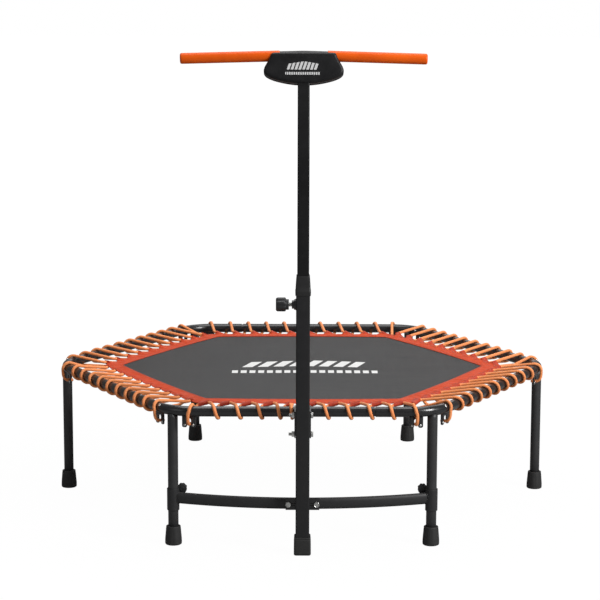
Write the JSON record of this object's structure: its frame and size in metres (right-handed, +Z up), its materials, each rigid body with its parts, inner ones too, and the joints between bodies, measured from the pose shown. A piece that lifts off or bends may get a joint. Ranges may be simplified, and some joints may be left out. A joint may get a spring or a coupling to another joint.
{
  "type": "fitness trampoline",
  "caption": "Hexagonal fitness trampoline with bungee-cord suspended jumping mat, straight legs and a height-adjustable T-bar handle on a square post.",
  "frame": {"origin": "floor level, at the middle of the overall outline; the six-sided frame's own centre is at +Y 32.2 mm", "axes": "+Z up; -Y towards the handle post, +X to the right seen from the handle side; a frame corner lies on +X"},
  "size_m": [1.296, 1.2246, 1.1973],
  "materials": {
    "black_gloss_paint": "gloss powder coat",
    "black_satin_paint": "satin powder coat",
    "black_rubber": "matte",
    "black_plastic": "fine texture",
    "zinc_fasteners": "bright zinc plate",
    "orange_cord": "braided textile sheath",
    "grey_mesh": "woven polypropylene",
    "orange_webbing": "coated webbing, stitched",
    "orange_grip": "smooth foam",
    "black_pad": "soft matte shell"
  },
  "bodies": {
    "frame": {"frame_section_1": "black_gloss_paint", "frame_section_2": "black_gloss_paint", "frame_section_3": "black_gloss_paint", "frame_section_4": "black_gloss_paint", "frame_section_5": "black_gloss_paint", "frame_section_6": "black_gloss_paint", "frame_screws": "zinc_fasteners", "leg_1": "black_satin_paint", "leg_2": "black_satin_paint", "leg_3": "black_satin_paint", "leg_4": "black_satin_paint", "leg_5": "black_satin_paint", "leg_6": "black_satin_paint", "foot_1": "black_rubber", "foot_2": "black_rubber", "foot_3": "black_rubber", "foot_4": "black_rubber", "foot_5": "black_rubber", "foot_6": "black_rubber", "anchor_rivets": "zinc_fasteners", "cord_1": "orange_cord", "cord_2": "orange_cord", "cord_3": "orange_cord", "cord_4": "orange_cord", "cord_5": "orange_cord", "cord_6": "orange_cord", "brace_tube": "black_satin_paint", "brace_sleeve_left": "black_satin_paint", "brace_sleeve_right": "black_satin_paint", "clamp_studs": "zinc_fasteners", "brace_plate": "black_gloss_paint", "brace_bolts": "zinc_fasteners", "brace_nuts": "zinc_fasteners", "post_lower": "black_gloss_paint", "post_foot": "black_rubber", "post_collar": "black_plastic", "post_bracket": "black_gloss_paint", "post_bolts": "zinc_fasteners", "post_nuts": "zinc_fasteners", "lock_boss": "black_gloss_paint"},
    "mat": {"jump_mat": "grey_mesh", "mat_border": "orange_webbing"},
    "handle": {"upper_post": "black_gloss_paint", "inner_glide": "black_plastic", "handlebar": "black_gloss_paint", "grip_left": "orange_grip", "grip_right": "orange_grip", "handle_pad": "black_pad"},
    "lock_screw": {"lock_screw": "zinc_fasteners"},
    "lock_knob": {"lock_knob": "black_plastic"},
    "brace_knob_left": {"brace_knob_left": "black_plastic"},
    "brace_knob_right": {"brace_knob_right": "black_plastic"}
  },
  "joints": [
    {"name": "handle_height", "type": "slide", "parent": "frame", "child": "handle", "axis": [0, 0, 1], "range_m": [-0.15, 0.05]},
    {"name": "screw_travel", "type": "slide", "parent": "frame", "child": "lock_screw", "axis": [1, 0, 0], "range_m": [-0.003, 0.0066]},
    {"name": "knob_turn", "type": "hinge", "parent": "lock_screw", "child": "lock_knob", "pos_m": [-0.0335, -0.59179, 0.6065], "axis": [1, 0, 0], "range_deg": [-723, 1587]},
    {"name": "mat_bounce", "type": "slide", "parent": "frame", "child": "mat", "axis": [0, 0, 1], "range_m": [-0.15, 0.02], "stiffness_N_per_m": 5000, "springref_m": 0.0037, "deforming": ["cord_1", "cord_2", "cord_3", "cord_4", "cord_5", "cord_6"]},
    {"name": "brace_knob_left_turn", "type": "hinge", "parent": "frame", "child": "brace_knob_left", "pos_m": [-0.29275, -0.49479, 0.136], "axis": [0, 1, 0], "range_deg": [-90, 1080]},
    {"name": "brace_knob_right_turn", "type": "hinge", "parent": "frame", "child": "brace_knob_right", "pos_m": [0.29275, -0.49479, 0.136], "axis": [0, 1, 0], "range_deg": [-90, 1080]}
  ],
  "couplings": [
    {"joint": "knob_turn", "follows": "screw_travel", "rad_per_m": 4188.8}
  ]
}
